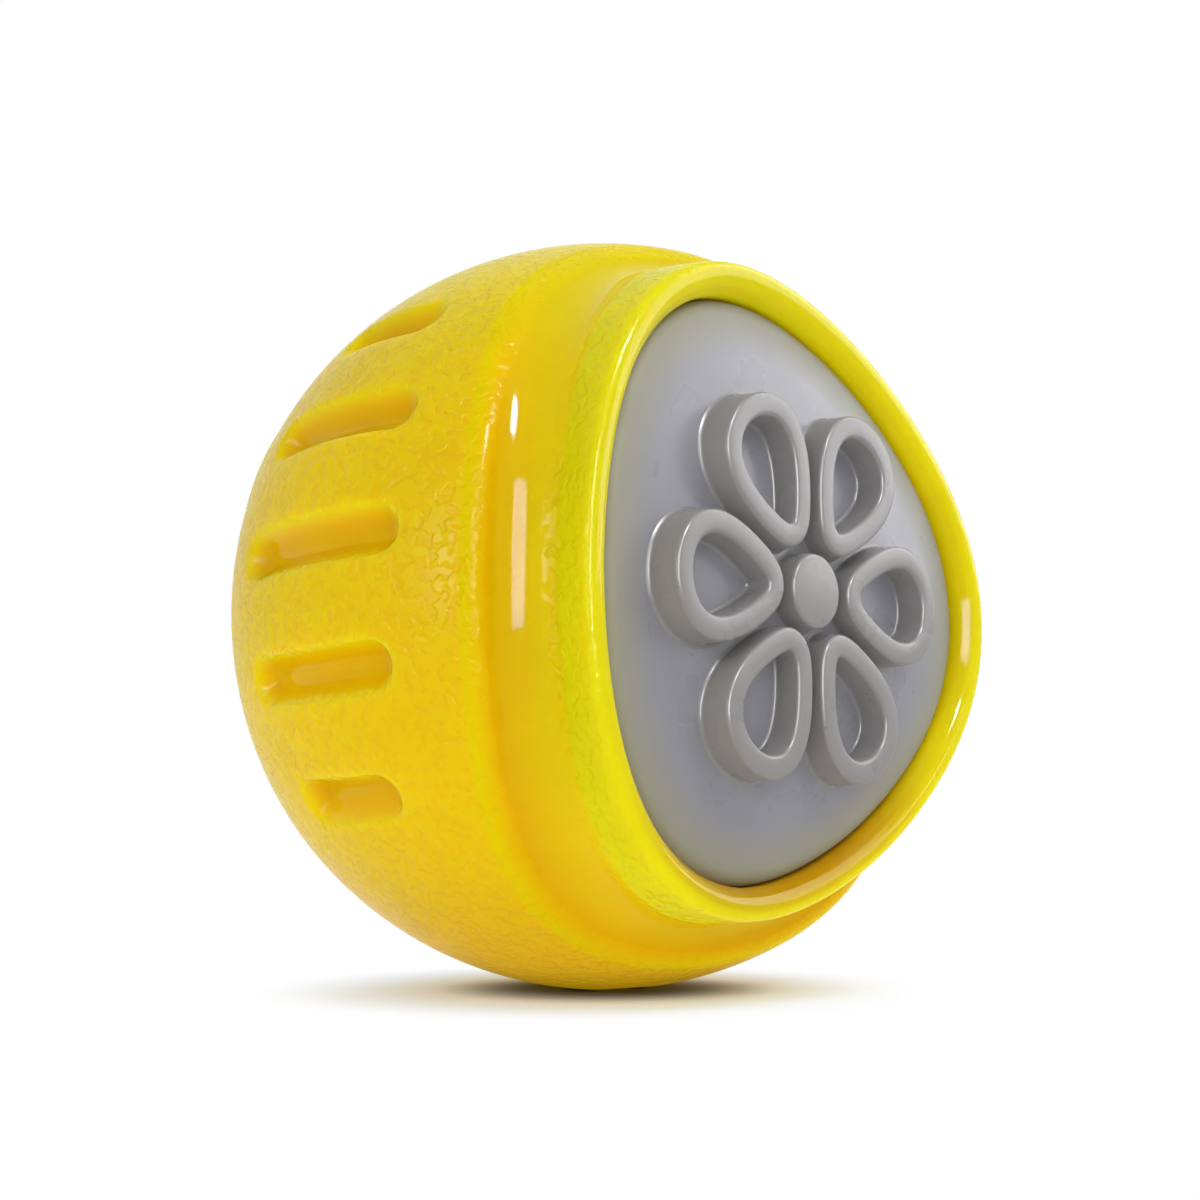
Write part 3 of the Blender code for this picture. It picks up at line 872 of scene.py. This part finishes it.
smear = grey.texture("ShaderNodeTexNoise", "Fac", Scale=SMEAR_SCALE, Detail=SMEAR_DETAIL)
ripple = grey.node("ShaderNodeBump", Height=smear, Strength=RIPPLE_STRENGTH, Distance=RIPPLE_DEPTH)
polish = grey.ramp(smear, *SMEAR_RANGE, POLISH_BEST, POLISH_WORST)
polish = grey.math("ADD", polish, grey.math("MULTIPLY", rim, RIM_ROUGHNESS))
grey.set_shader(Base_Color=core_colour, Normal=ripple.outputs[0], Roughness=polish,
                IOR=RUBBER_IOR, Specular_IOR_Level=GREY_SHINE, Subsurface_Weight=GREY_SOFTNESS,
                Subsurface_Radius=GREY_SCATTER, Subsurface_Scale=GREY_SCATTER_DEPTH)
for piece in (core_front, core_rear, relief_front, relief_rear):
    piece.data.materials.append(grey.material)
print("grey rubber:", len(grey.tree.nodes), "nodes")

# %% [markdown]
# Camera
#
# The photograph was taken from low down and to the left of the front cap, close enough for clear
# perspective. The view could be set by eye, but a wrong distance would change the ring's outline. So its
# place was worked out from the ball's outline, the window's joint line, the ring and the slots together.
# It looks slightly up.

# %% Camera
CAMERA_AZIMUTH = -45.756
CAMERA_RISE = -7.4
CAMERA_DISTANCE = 0.160
AIM_RIGHT = -0.00027
AIM_UP = 0.00138
LENS = 54.85
SENSOR = 36.0
NEAR_CLIP = 0.005


def bearing(azimuth, rise):
    """A direction out from the ball in degrees: azimuth 0 is in front of the front cap, below 0 its left."""
    turn, lift = math.radians(azimuth), math.radians(rise)
    return Vector((math.sin(turn) * math.cos(lift), -math.cos(turn) * math.cos(lift), math.sin(lift)))


back = bearing(CAMERA_AZIMUTH, CAMERA_RISE)
right = Vector((0.0, 0.0, 1.0)).cross(back).normalized()
up = back.cross(right)
camera_data = bpy.data.cameras.new("camera")
camera_data.lens = LENS
camera_data.sensor_width = SENSOR
camera_data.clip_start = NEAR_CLIP
camera = bpy.data.objects.new("camera", camera_data)
bpy.context.scene.collection.objects.link(camera)
camera.matrix_world = Matrix((right, up, back)).transposed().to_4x4()
camera.location = back * CAMERA_DISTANCE + right * AIM_RIGHT + up * AIM_UP
bpy.context.scene.camera = camera
print("camera at", [round(1000 * v, 1) for v in camera.location], "mm")

# %% [markdown]
# Floor and backdrop
#
# The photograph has a white ground with one soft contact shadow. A flat plane could carry it, but its
# far edge would show as a horizon. A sheet of card that lies under the ball and curves up behind it is
# what a photographer uses. Near the ball the card takes the shadow, and right at the contact it is
# darker, because the photograph's shadow is deepest there. Farther out it glows white for rays that come
# from the camera, off a gloss or through something clear, so that it melts into the white world.

# %% Sweep shape
SWEEP_REACH = 0.70
SWEEP_WIDTH = 2.4
SWEEP_CURVE_R = 0.35
SWEEP_CURVE_POINTS = 13
SWEEP_TOP = 1.2
FLOOR_Z = -BALL_R * MM

sweep_line = [(-SWEEP_WIDTH / 2, 0.0)]
for lean in np.linspace(0.0, math.pi / 2, SWEEP_CURVE_POINTS):
    sweep_line.append((SWEEP_REACH + SWEEP_CURVE_R * math.sin(lean), SWEEP_CURVE_R * (1 - math.cos(lean))))
sweep_line.append((SWEEP_REACH + SWEEP_CURVE_R, SWEEP_TOP))
away = -bearing(CAMERA_AZIMUTH, 0.0)
sweep_points = []
for behind, climb in sweep_line:
    for aside in (-SWEEP_WIDTH / 2, SWEEP_WIDTH / 2):
        sweep_points.append(away * behind + right * aside + Vector((0.0, 0.0, FLOOR_Z + climb)))
sweep_faces = [(2 * i, 2 * i + 1, 2 * i + 3, 2 * i + 2) for i in range(len(sweep_line) - 1)]
sweep_mesh = bpy.data.meshes.new("sweep")
sweep_mesh.from_pydata([tuple(p) for p in sweep_points], [], sweep_faces)
sweep_mesh.shade_smooth()
sweep = bpy.data.objects.new("sweep", sweep_mesh)
bpy.context.scene.collection.objects.link(sweep)
print("sweep of", len(sweep_faces), "faces")

# %% Sweep finish
WHITE = (1.0, 1.0, 1.0, 1.0)
# Painted shadow: the contact colour darkens the card right under the ball. Both card colours lean blue to
# cancel the yellow light that the ball throws on the card.
PAINTED_CONTACT_SHADOW = (0.17, 0.19, 0.26, 1.0)
CARD_WHITE = (0.80, 0.86, 0.98, 1.0)
CARD_ROUGHNESS = 0.9
PAINTED_SHADOW_NEAR, PAINTED_SHADOW_FAR = 0.0322, 0.0356
PAPER_NEAR, PAPER_FAR = 0.0325, 0.044
PAPER_GLOW = 0.10

paper = Finish("white_sweep")
seen = paper.looked_at()
from_centre = paper.node("ShaderNodeVectorMath", {"operation": "LENGTH"})
paper.feed(from_centre.inputs[0], paper.spot)
# Painted shadow: the card turns from the dark contact colour to its own within a few millimetres of the
# contact.
clear_of_painted_shadow = paper.ramp(from_centre.outputs["Value"], PAINTED_SHADOW_NEAR, PAINTED_SHADOW_FAR)
far_out = paper.ramp(from_centre.outputs["Value"], PAPER_NEAR, PAPER_FAR)
near_glow = paper.math("MULTIPLY", clear_of_painted_shadow, PAPER_GLOW)
paper.set_shader(Base_Color=paper.blend(clear_of_painted_shadow, PAINTED_CONTACT_SHADOW, CARD_WHITE),
                 Roughness=CARD_ROUGHNESS, Specular_IOR_Level=0.0, Emission_Color=WHITE,
                 Emission_Strength=paper.math("MULTIPLY", seen, near_glow))
glow = paper.node("ShaderNodeEmission", Color=WHITE, Strength=1.0)
cover = paper.node("ShaderNodeMixShader")
paper.feed(cover.inputs[0], paper.math("MULTIPLY", far_out, seen))
paper.feed(cover.inputs[1], paper.shader.outputs[0])
paper.feed(cover.inputs[2], glow.outputs[0])
paper.feed(paper.tree.nodes["Material Output"].inputs["Surface"], cover.outputs[0])
sweep_mesh.materials.append(paper.material)
print("white sweep:", len(paper.tree.nodes), "nodes")

# %% [markdown]
# White world
#
# The photograph's background is plain white. A picture of a room could light the ball, but the world has
# only two jobs here: to be white where the camera, a gloss or something clear looks at it, and to give a
# weak even light to the rest. The same test of rays as in the sweep tells the two apart.

# %% World
WORLD_LIGHT = 0.20
world = bpy.data.worlds.new("studio")
bpy.context.scene.world = world
world.use_nodes = True
room = Nodes(world.node_tree)
background = room.tree.nodes["Background"]
room.feed(background.inputs["Color"], WHITE)
room.feed(background.inputs["Strength"], room.ramp(room.looked_at(), 0.0, 1.0, WORLD_LIGHT, 1.0))
print("world:", len(room.tree.nodes), "nodes")

# %% [markdown]
# Lamps
#
# Product photographs of rubber toys use big soft boxes, so that gloss shows as broad pale shapes. Moving
# one box changes both the brightness and the gloss, which makes it hard to match either. So the two jobs
# are split: fill boxes and the lit table only brighten, and cards only show in gloss. The cards draw the
# upright strip in the groove, the small glint above it, the sparkle on the left and the pale sheen on
# the cap. They are very bright, because the rubber's gloss level is low.

# %% Lamp helpers
FILL_DISTANCE = 0.60
CARD_DISTANCE = 0.45


def soft_box(name, azimuth, rise, distance, width, height):
    """A rectangular area lamp that faces the ball."""
    towards = bearing(azimuth, rise)
    lamp = bpy.data.lights.new(name, "AREA")
    lamp.shape = "RECTANGLE"
    lamp.size, lamp.size_y = width, height
    box = bpy.data.objects.new(name, lamp)
    box.location = towards * distance
    box.rotation_mode = "QUATERNION"
    box.rotation_quaternion = towards.to_track_quat("Z", "Y")
    box.visible_camera = False
    bpy.context.scene.collection.objects.link(box)
    return box


def fill_box(name, azimuth, rise, width, height, level):
    """A lamp that only brightens: level 1 shows a colour as it is written on a face turned to the lamp."""
    box = soft_box(name, azimuth, rise, FILL_DISTANCE, width, height)
    box.data.energy = level * (math.pi * FILL_DISTANCE) ** 2
    box.visible_glossy = False
    print("%s: level %.2f, %.2f W" % (name, level, box.data.energy))


def gloss_card(name, azimuth, rise, width, height, brightness):
    """A bright card that only shows in gloss, where 1 is as bright as white paper."""
    card = soft_box(name, azimuth, rise, CARD_DISTANCE, width, height)
    card.data.energy = brightness * math.pi * width * height
    card.visible_diffuse = False
    print("%s: %.1f times white paper" % (name, brightness))


# %% Fill boxes
fill_box("front_fill", azimuth=-66.0, rise=17.0, width=0.60, height=0.20, level=0.48)
fill_box("top_fill", azimuth=30.0, rise=65.0, width=0.50, height=0.50, level=0.64)
fill_box("cap_fill", azimuth=25.0, rise=20.0, width=0.40, height=0.30, level=0.14)
fill_box("rear_fill", azimuth=130.0, rise=40.0, width=0.50, height=0.50, level=0.30)

# %% Lit table
TABLE_SIZE = 0.40
TABLE_GAP = 0.0002
TABLE_GLOW = 0.42
TABLE_TINT = (1.0, 0.86, 0.55)
table = soft_box("table_glow", 0.0, -90.0, BALL_R * MM - TABLE_GAP, TABLE_SIZE, TABLE_SIZE)
table.data.energy = TABLE_GLOW * math.pi * table.data.size * table.data.size_y
table.data.color = TABLE_TINT
table.visible_glossy = False
print("table_glow: %.2f times white paper" % TABLE_GLOW)

# %% Gloss cards
gloss_card("strip", azimuth=-29.0, rise=11.0, width=0.22, height=0.25, brightness=42.0)
gloss_card("glint", azimuth=-2.0, rise=38.0, width=0.08, height=0.06, brightness=300.0)
gloss_card("key_card", azimuth=-89.0, rise=9.0, width=0.06, height=0.18, brightness=30.0)
gloss_card("right_card", azimuth=55.0, rise=29.0, width=0.26, height=0.34, brightness=7.6)

# %% [markdown]
# Colour
#
# A film-like view could add contrast, but the Standard view shows colours as they are written, so the
# rubber can be compared with the photograph.

# %% Finish
bpy.context.scene.view_settings.view_transform = "Standard"
